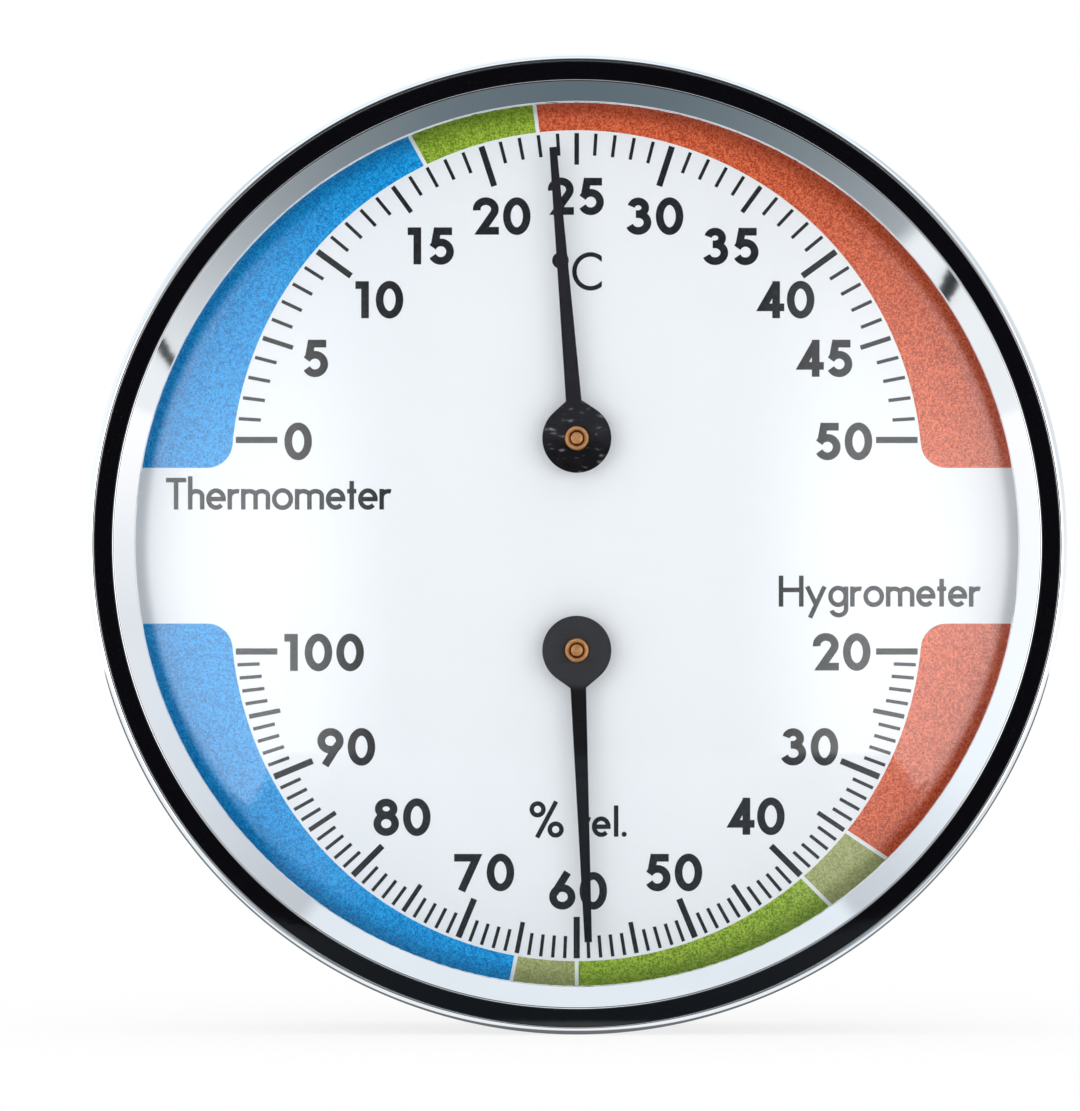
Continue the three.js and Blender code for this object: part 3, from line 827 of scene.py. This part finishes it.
def makeCase():
    wall = case["back"]
    behind, inside = case["cutSpare"]
    through = (-behind, wall + inside)
    outside = [(case["bossRadius"], depth) for depth in (wall / 2, case["bossHeight"])]
    pilot = [(case["pilotRadius"], depth) for depth in (case["bossHeight"], case["pilotDepth"])]
    boss = turnedMesh([(0, wall / 2), *outside, *pilot, (0, case["pilotDepth"])], case["bossSteps"])
    keyhole = sheetMesh([keyholeOutline()], *through)
    window = sheetMesh([circle(0, -pivotHeight, case["adjusterRadius"])], *through)
    meshes = {"Boss": boss, "Vent": ventTool(), "Holes": changed(keyhole, [window], "UNION")}
    tools = {name: newObject(name, mesh) for name, mesh in meshes.items()}
    sizes = {"Boss Across": case["bossReach"][0] * mm, "Boss Up": case["bossReach"][1] * mm}
    sizes |= {"Weld": case["weld"] * mm, "Vent Count": case["ventCount"], "Plastic": moulded}
    cup = grown(caseTree(), tools | sizes, turnedMesh(cupProfile(), case["steps"]))
    for tool in tools.values():
        bpy.data.objects.remove(tool)
    fit("rearCup", softShaded(cup, case["sharpAngle"]), moulded, "case", "case_plastic", "rear_case")


makeBezel()
makeBand()
makeLens()
makeSpacer()
makeCase()
print("housing made")


# dial and its print, in millimetres on the dial: x to the right, y up

dial = {
    "holeRadius": 2.2, "edge": 0.05, "steps": 240, "inkThickness": 0.015, "inkSink": 0.01, "printDrop": 0.15,
}
inkBack = dialSize["front"] - dial["inkSink"]
inkFront = dialSize["front"] + dial["inkThickness"]


def makeDial():
    outlines = [circle(0, 0, dialSize["radius"], dial["steps"])]
    outlines += [circle(0, height, dial["holeRadius"]) for height in (pivotHeight, -pivotHeight)]
    plate = sheetMesh(outlines, dialSize["back"], dialSize["front"], dial["edge"])
    fit("dialFace", plate, enamel, "case", "dial_enamel", "dial_plate")


def printed(name, mesh, ink):
    mesh.transform(Matrix.Translation((0, 0, -dial["printDrop"] * mm)))
    fit(name, mesh, inks[ink], "case", "dial_enamel")


scaleArc = {
    "height": 7.4, "radius": 36.6, "outer": 47.0, "end": 8.25, "endRound": 2.7, "gap": 0.4,
    "steps": 48, "cornerSteps": 10,
}
scales = {
    "thermo": {
        "turn": 1, "middle": 25, "step": 3.6, "first": 0, "last": 50,
        "zones": [("blue", 0, 17), ("green", 17, 23), ("red", 23, 50)],
    },
    "hygro": {
        "turn": -1, "middle": 60, "step": 2.25, "first": 20, "last": 100,
        "zones": [
            ("red", 20, 35), ("olive", 35, 40), ("green", 40, 60), ("olive", 60, 65), ("blue", 65, 100),
        ],
    },
}


# where a line through a point, in a direction, leaves a circle
def leaves(point, along, centre, radius):
    off = point - centre
    nearest = off.dot(along)
    return point + along * (math.sqrt(nearest ** 2 - off.length_squared + radius ** 2) - nearest)


def bearing(point, centre):
    return math.degrees(math.atan2(point.y - centre.y, point.x - centre.x))


# one coloured zone of the upper scale's layout, between two values
def zoneOutline(scale, start, end):
    middle, rim, pivot = (Vector((0, height)) for height in (scaleArc["height"], 0, pivotHeight))
    radius, wide, bend, level = (scaleArc[size] for size in ("radius", "outer", "endRound", "end"))
    inner, outer = [], []
    for value, side in ((start, 1), (end, -1)):
        turn = math.radians((value - scale["middle"]) * scale["step"])
        along = Vector((math.sin(turn), math.cos(turn)))
        aside = Vector((along.y, -along.x)) * side * scaleArc["gap"] / 2
        if value not in (scale["first"], scale["last"]):
            inner.append(leaves(pivot + aside, along, middle, radius))
            outer.append(leaves(pivot + aside, along, rim, wide))
            continue
        high = level + bend - middle.y
        hub = Vector((-side * math.sqrt((radius + bend) ** 2 - high ** 2), high))
        inner.append(middle + hub.normalized() * radius)
        outer.append(Vector((-side * math.sqrt(wide ** 2 - level ** 2), level)))
    low, high = (bearing(point, middle) for point in inner)
    outline = arc(0, middle.y, radius, radius, low, high, scaleArc["steps"])
    if end == scale["last"]:
        outline += endCorner(inner[1], middle, bend)
    low, high = (bearing(point, rim) for point in outer)
    outline += arc(0, 0, wide, wide, high, low, scaleArc["steps"])
    if start == scale["first"]:
        outline += reversed(endCorner(inner[0], middle, bend))
    return outline


def endCorner(touch, middle, bend):  # the round corner from the arc down to the level end of the zone
    hub = touch + (touch - middle).normalized() * bend
    start = bearing(touch, hub)
    turns = (start, -90) if touch.x < 0 else (start % 360, 270)
    return arc(hub.x, hub.y, bend, bend, *turns, scaleArc["cornerSteps"])[1:]


def makeZones():
    for name, scale in scales.items():
        for colour, start, end in scale["zones"]:
            outline = [(x * scale["turn"], y * scale["turn"]) for x, y in zoneOutline(scale, start, end)]
            printed(f"{name}Zone{start}to{end}", sheetMesh([outline], inkBack, inkFront), colour)


ticks = {
    "Minor Length": 2.35, "Medium Length": 3.35, "Major Length": 4.4,
    "Minor Width": 0.36, "Medium Width": 0.49, "Major Width": 0.66, "Clearance": 0.3,
}


def tickTree():  # strokes that point at the pivot and end along the arc of the zones
    lengths = ["Pivot", "Arc Height", "Arc Radius", "Plane", "Thickness", *ticks]
    board, given = newTree("tickTree", {
        "Int": ["Count"], "Float": ["First Turn", "Step Turn", "Side", *lengths], "Material": ["Ink"]})
    index = board.geometry("InputIndex")
    turn = given["First Turn"] + given["Step Turn"] * index
    sine, cosine = board.maths("SINE", turn), board.maths("COSINE", turn)
    five, ten = (index % 5) < 0.5, (index % 10) < 0.5

    def ranked(size):
        minor, medium, major = (given[f"{rank} {size}"] for rank in ("Minor", "Medium", "Major"))
        return minor + five * (medium - minor) + ten * (major - medium)

    length = ranked("Length")
    rise = given["Pivot"] - given["Arc Height"]
    reach = given["Arc Radius"] - given["Clearance"]
    across = rise * sine
    end = board.maths("SQRT", reach * reach - across * across) - rise * cosine
    middle = end - length * 0.5
    x, z = given["Side"] * middle * sine, given["Side"] * (given["Pivot"] + middle * cosine)
    points = board.geometry("Points", Count=given["Count"], Position=board.vector(x, given["Plane"], z))
    strokes = board.geometry(
        "InstanceOnPoints", Points=points, Instance=board.geometry("MeshCube", Size=(1, 1, 1)),
        Rotation=board.aboutY(turn), Scale=board.vector(ranked("Width"), given["Thickness"], length))
    return endTree(board, strokes, given["Ink"])


def makeTicks():
    tree = tickTree()
    for name, scale in scales.items():
        sizes = ticks | {
            "Pivot": pivotHeight, "Arc Height": scaleArc["height"], "Arc Radius": scaleArc["radius"],
            "Thickness": inkFront - inkBack, "Plane": -(inkFront + inkBack) / 2,
        }
        values = {label: size * mm for label, size in sizes.items()} | {
            "Count": scale["last"] - scale["first"] + 1, "Side": float(scale["turn"]),
            "First Turn": math.radians((scale["first"] - scale["middle"]) * scale["step"]),
            "Step Turn": math.radians(scale["step"]), "Ink": inks["black"],
        }
        printed(f"{name}Ticks", grown(tree, values), "black")


# signs drawn with a pen of even width: each is its width and its strokes, in shares of the capital height
# a stroke is open, open with upright ends, a loop, or a filled dot

signs = {"loopSteps": 36, "dotSteps": 20, "smallHeight": 0.65, "sharpest": 0.25}


def oval(x, y, acrossX, acrossY):
    return arc(x, y, acrossX, acrossY, 0, 360, signs["loopSteps"])[:-1], "loop"


def line(*points):
    return list(points), "open"


def numeralSigns(pen):
    h = pen / 2  # keeps a stroke inside the size of its sign
    six = [oval(0.355, 0.337, 0.355 - h, 0.345 - h), line((0.50, 1.0), (0.142, 0.43))]
    nine = [([(0.71 - x, 1 - y) for x, y in path], kind) for path, kind in six]
    return {
        "0": (0.745, [oval(0.3725, 0.5, 0.3725 - h, 0.51 - h)]),
        "1": (0.44, [line((0.365 - h, 0), (0.365 - h, 1)), line((0, 1 - h), (0.365 - h, 1 - h))]),
        "2": (0.71, [line(*arc(0.355, 0.685, 0.35 - h, 0.325 - h, 188, -33), (0.24, h), (0.71, h))]),
        "3": (0.70, [
            line(*arc(0.335, 0.727, 0.295 - h, 0.172, 168, -90)),
            line(*arc(0.335, 0.327, 0.355 - h, 0.228, 90, -158)),
            line((0.27, 0.555), (0.36, 0.555)),
        ]),
        "4": (0.74, [line((0.56, 0.92), (0.20, 0.295), (0.78, 0.295)), line((0.56, 0), (0.56, 1))]),
        "5": (0.70, [
            line((0.165, 1 - h), (0.65, 1 - h)), line((0.265, 0.99), (0.172, 0.49)),
            line(*arc(0.345, 0.345, 0.355 - h, 0.355 - h, 152, -152)),
        ]),
        "6": (0.71, six),
        "7": (0.77, [line((0, 1 - h), (0.605, 1 - h), (0.20, 0))]),
        "8": (0.69, [oval(0.345, 0.725, 0.305 - h, 0.172), oval(0.345, 0.325, 0.345 - h, 0.228)]),
        "9": (0.71, nine),
    }


def letterSigns(pen):
    h = pen / 2
    low = signs["smallHeight"]
    return {
        "T": (0.64, [line((0, 1 - h), (0.64, 1 - h)), line((0.32, 0), (0.32, 1 - h))]),
        "h": (0.52, [
            line((h, 0), (h, 1.05)),
            line((0.52 - h, 0), *arc(0.26, 0.42, 0.26 - h, low - 0.42 - h, 0, 180)),
        ]),
        "e": (0.62, [line(*arc(0.31, 0.33, 0.31 - h, 0.34 - h, 0, 316)), line((h, 0.33), (0.62, 0.33))]),
        "r": (0.37, [line((h, 0), (h, low)), line(*arc(0.29, 0.38, 0.29 - h, low - 0.38 - h, 180, 70))]),
        "m": (0.92, [
            line((h, 0), (h, low)),
            line((0.46, 0), *arc((0.46 + h) / 2, 0.44, (0.46 - h) / 2, low - 0.44 - h, 0, 180)),
            line((0.92 - h, 0), *arc((1.38 - h) / 2, 0.44, (0.46 - h) / 2, low - 0.44 - h, 0, 180)),
        ]),
        "o": (0.67, [oval(0.335, 0.33, 0.335 - h, 0.345 - h)]),
        "t": (0.29, [line((0.145, 0), (0.145, 0.90)), line((0, low - h), (0.29, low - h))]),
        "H": (0.80, [
            line((h, 0), (h, 1)), line((0.80 - h, 0), (0.80 - h, 1)), line((h, 0.54), (0.80 - h, 0.54)),
        ]),
        "y": (0.68, [line((0.06, low), (0.345, 0.06)), line((0.62, low), (0.15, -0.36))]),
        "g": (0.65, [
            oval(0.32, 0.33, 0.32 - h, 0.345 - h),
            line((0.65 - h, low), (0.65 - h, -0.06), *arc(0.34, -0.07, 0.31 - h, 0.28 - h, 0, -165)),
        ]),
        "C": (0.82, [(arc(0.49, 0.5, 0.49 - h, 0.51 - h, 46, 314), "upright")]),
        "l": (pen, [line((h, 0), (h, 1.03))]),
        ".": (0.17, [(circle(0.085, 0.08, 0.085, signs["dotSteps"]), "dot")]),
        "%": (0.95, [
            oval(0.225, 0.78, 0.225 - h, 0.225 - h), oval(0.725, 0.22, 0.225 - h, 0.225 - h),
            line((0.74, 1.0), (0.21, 0.0)),
        ]),
        "°": (0.44, [oval(0.22, 0.79, 0.22 - h, 0.22 - h)]),
    }


# the two edges of a pen stroke, with pointed corners
def strokeEdges(path, pen, kind):
    points = [Vector(point) for point in path]
    loop = kind == "loop"
    left, right = [], []
    for k, point in enumerate(points):
        before = points[k - 1] if loop or k else None
        after = points[(k + 1) % len(points)] if loop or k + 1 < len(points) else None
        come = (point - before).normalized() if before else (after - point).normalized()
        leave = (after - point).normalized() if after else come
        bend = Vector((-come.y - leave.y, come.x + leave.x)).normalized()
        side = bend * pen / 2 / max(bend.dot(Vector((-come.y, come.x))), signs["sharpest"])
        if kind == "upright" and not (before and after):
            side -= come * side.x / come.x
        left.append(point + side)
        right.append(point - side)
    return left, right


def strokePrism(path, kind, pen):  # a stroke as a closed solid, one unit thick
    shape = bmesh.new()
    dot, ended = kind == "dot", kind in ("open", "upright")
    edges = [path] if dot else strokeEdges(path, pen, kind)
    low, top = ([[shape.verts.new((*spot, level)) for spot in edge] for edge in edges] for level in (0, 1))
    strips = [*zip(low, top)] if dot else [low, top, *zip(low, top)]
    faces = low + top if dot else []
    for i in range(1 if ended else 0, len(path)):
        faces += [(one[i - 1], one[i], other[i], other[i - 1]) for one, other in strips]
    if ended:
        faces += [(low[0][i], low[1][i], top[1][i], top[0][i]) for i in (0, -1)]
    for face in faces:
        shape.faces.new(face)
    return meshFrom(shape)


def signMeshes(drawn, pen):
    meshes = {}
    for sign, (width, strokes) in drawn.items():
        first, *others = [strokePrism(*stroke, pen) for stroke in strokes]
        meshes[sign] = (width, changed(first, others, "UNION") if others else first)
    return meshes


# adds a line of signs to a shape, its left end and foot at a spot on the dial
def setLine(shape, text, meshes, gap, left, foot, height):
    size = Matrix.Diagonal((height * mm, height * mm, (inkFront - inkBack) * mm, 1))
    for sign in text:
        width, mesh = meshes[sign]
        before = len(shape.verts)
        shape.from_mesh(mesh)
        shape.verts.ensure_lookup_table()
        corner = Matrix.Translation(Vector((left, -inkBack, foot)) * mm)
        upright = corner @ Matrix.Rotation(math.pi / 2, 4, "X") @ size
        bmesh.ops.transform(shape, matrix=upright, verts=shape.verts[before:])
        left += (width + gap) * height


def lineWidth(text, meshes, gap=0.0):
    return sum(meshes[sign][0] for sign in text) + gap * (len(text) - 1)


numerals = {
    "height": 3.92, "pen": 0.208, "gap": 0.11,
    "thermo": {
        "0": (-29.5, 11.05), "5": (-27.7, 19.85), "10": (-20.9, 26.05), "15": (-15.45, 31.75),
        "20": (-7.95, 34.9), "25": (-0.1, 37.0), "30": (8.25, 34.9), "35": (16.3, 31.7),
        "40": (22.05, 26.05), "45": (26.15, 19.85), "50": (28.25, 11.05),
    },
    "hygro": {
        "100": (-26.75, -11.3), "90": (-24.4, -21.3), "80": (-18.5, -28.75), "70": (-9.8, -34.6),
        "60": (0.15, -36.55), "50": (10.25, -34.6), "40": (18.9, -28.65), "30": (24.65, -21.3),
        "20": (28.05, -11.25),
    },
}


def makeNumerals():
    height, pen, gap = numerals["height"], numerals["pen"], numerals["gap"]
    meshes = signMeshes(numeralSigns(pen), pen)
    for name in scales:
        shape = bmesh.new()
        for text, (x, y) in numerals[name].items():
            half = lineWidth(text, meshes, gap) * height / 2
            setLine(shape, text, meshes, gap, x - half, y - height / 2, height)
        printed(f"{name}Numerals", meshFrom(shape), "black")


wordPen = 0.48
words = {
    "thermoTitle": {"text": "Thermometer", "left": -43.5, "right": -19.65, "foot": 3.83, "height": 3.36},
    "hygroTitle": {"text": "Hygrometer", "left": 21.4, "right": 42.75, "foot": -6.45, "height": 3.28},
    "degreeSign": {"text": "°C", "left": -2.6, "right": 2.79, "foot": 27.05, "height": 4.0},
    "percentSign": {"text": "%", "left": -5.0, "right": -1.4, "foot": -30.9, "height": 3.82},
    "relativeStart": {"text": "r", "left": 0.28, "right": 1.5, "foot": -30.82, "height": 3.22},
    "relativeEnd": {"text": "el.", "left": 1.6, "right": 5.3, "foot": -30.82, "height": 3.22},
}


def makeWords():
    for name, word in words.items():
        text, height = word["text"], word["height"]
        pen = wordPen / height
        letters = letterSigns(pen)
        meshes = signMeshes({sign: letters[sign] for sign in text}, pen)
        spare = (word["right"] - word["left"]) / height - lineWidth(text, meshes)
        shape = bmesh.new()
        setLine(shape, text, meshes, spare / max(len(text) - 1, 1), word["left"], word["foot"], height)
        printed(name, meshFrom(shape), "black")


makeDial()
makeZones()
makeTicks()
makeNumerals()
makeWords()
print("dial printed")


# pointers and their pivots

needle = {
    "hubRadius": 3.65, "shoulder": 38, "rootHalf": 0.83, "tipHalf": 0.39, "length": 30.85,
    "hole": 1.3, "edge": 0.07, "hubSteps": 72,
}
readings = {"thermo": 23.7, "hygro": 59}


def pointerOutlines():
    turn = math.radians(needle["shoulder"])
    hub = needle["hubRadius"]
    root = hub * math.cos(turn) + (hub * math.sin(turn) - needle["rootHalf"]) * math.tan(turn)
    rim = arc(0, 0, hub, hub, 90 + needle["shoulder"], 450 - needle["shoulder"], needle["hubSteps"])
    blade = [(needle["rootHalf"], root), (needle["tipHalf"], needle["length"])]
    blade += [(-x, y) for x, y in reversed(blade)]
    return [rim + blade, circle(0, 0, needle["hole"])]


def makePointer(name, height):
    size, scale = roundSize(f"{name}_pointer"), scales[name]
    turn = math.radians((readings[name] - scale["middle"]) * scale["step"])
    along, across = math.cos(turn) * scale["turn"], math.sin(turn) * scale["turn"]
    outlines = []
    for outline in pointerOutlines():
        outlines.append([(x * along + y * across, y * along - x * across + height) for x, y in outline])
    mesh = sheetMesh(outlines, size["back"], size["front"], needle["edge"])
    fit(f"{name}Needle", mesh, paint, f"{name}_pointer", "pointer_paint", f"{name}_pointer")


bush = {
    "radius": 1.6, "neck": 1.25, "mouth": 0.95, "mouthDepth": 0.25, "bore": 0.75, "proud": 1.1,
    "footRound": 0.15, "shoulderRound": 0.1, "neckRound": 0.12, "mouthRound": 0.06, "steps": 72,
}


def makeBush(name, height):
    size = roundSize(f"{name}_bush")
    back, front = size["back"], size["front"]
    shoulder = front - bush["proud"]
    section = rounded([
        (bush["bore"], back), (bush["radius"], back, bush["footRound"]),
        (bush["radius"], shoulder, bush["shoulderRound"]), (bush["neck"], shoulder),
        (bush["neck"], front, bush["neckRound"]), (bush["mouth"], front, bush["mouthRound"]),
        (bush["bore"], front - bush["mouthDepth"]),
    ], steps=4)
    tube = turnedMesh(section, bush["steps"], height)
    fit(f"{name}Tube", tube, brass[name], f"{name}_pointer", "pivot_brass", f"{name}_bush")


pins = {
    "radius": 0.65, "tipRound": 0.07, "journal": 1.0, "foot": 1.7, "footHeight": 0.6, "footRound": 0.2,
    "shoulder": 1.8, "shoulderRound": 0.15, "head": 2.3, "headHeight": 2.0, "headRounds": (0.25, 0.1),
    "slotWidth": 0.8, "slotDepth": 0.7, "slotSpare": (0.4, 1), "steps": 64,
}
movement = {"plateBack": 6.0, "plateFront": 7.0, "armFront": 8.2, "play": 0.1}


def makePins():
    top = roundSize("thermo_pivot_pin")["front"]
    back, front, arm = movement["plateBack"], movement["plateFront"], movement["armFront"]
    foot, journal, shoulder, head = pins["foot"], pins["journal"], pins["shoulder"], pins["head"]
    tip = [(pins["radius"], arm), (pins["radius"], top, pins["tipRound"]), (0, top)]
    footBack = back - pins["footHeight"]
    fixed = rounded([
        (0, footBack), (foot, footBack, pins["footRound"]), (foot, back), (journal, back), (journal, front),
        (shoulder, front), (shoulder, arm, pins["shoulderRound"]), *tip,
    ], steps=4)
    pin = turnedMesh(fixed, pins["steps"], pivotHeight)
    fit("upperPin", pin, brass["thermo"], "case", "pivot_brass", "thermo_pivot_pin")
    headFront = back - movement["play"]
    headBack = headFront - pins["headHeight"]
    backRound, frontRound = pins["headRounds"]
    turning = rounded([
        (0, headBack), (head, headBack, backRound), (head, headFront, frontRound),
        (journal, headFront), (journal, arm), *tip,
    ], steps=4)
    beside, behind = pins["slotSpare"]
    half, reach = pins["slotWidth"] / 2, head + beside
    corners = [(-reach, -half), (reach, -half), (reach, half), (-reach, half)]
    box = [(x, y - pivotHeight) for x, y in corners]
    slot = sheetMesh([box], headBack - behind, headBack + pins["slotDepth"])
    pin = changed(turnedMesh(turning, pins["steps"], -pivotHeight), [slot], "DIFFERENCE")
    fit("lowerPin", pin, brass["hygro"], "hygro_adjuster", "pivot_brass", "hygro_adjuster_pin")


def dressNodes():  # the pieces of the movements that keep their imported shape
    looks = {"plate_steel": zinc, "coil_bimetal": bimetal, "coil_foil": foil}
    for part in frame["record"]["subparts"]:
        look = looks.get(part["material_slot"])
        if part["node"].endswith("_collet"):
            look = brass[part["node"].split("_")[0]]
        if look is None:
            continue
        for slot in frame["nodes"][part["node"]].material_slots:
            slot.link = "OBJECT"
            slot.material = look


for name, height in (("thermo", pivotHeight), ("hygro", -pivotHeight)):
    makePointer(name, height)
    makeBush(name, height)
makePins()
dressNodes()
print("pointers and movements made")
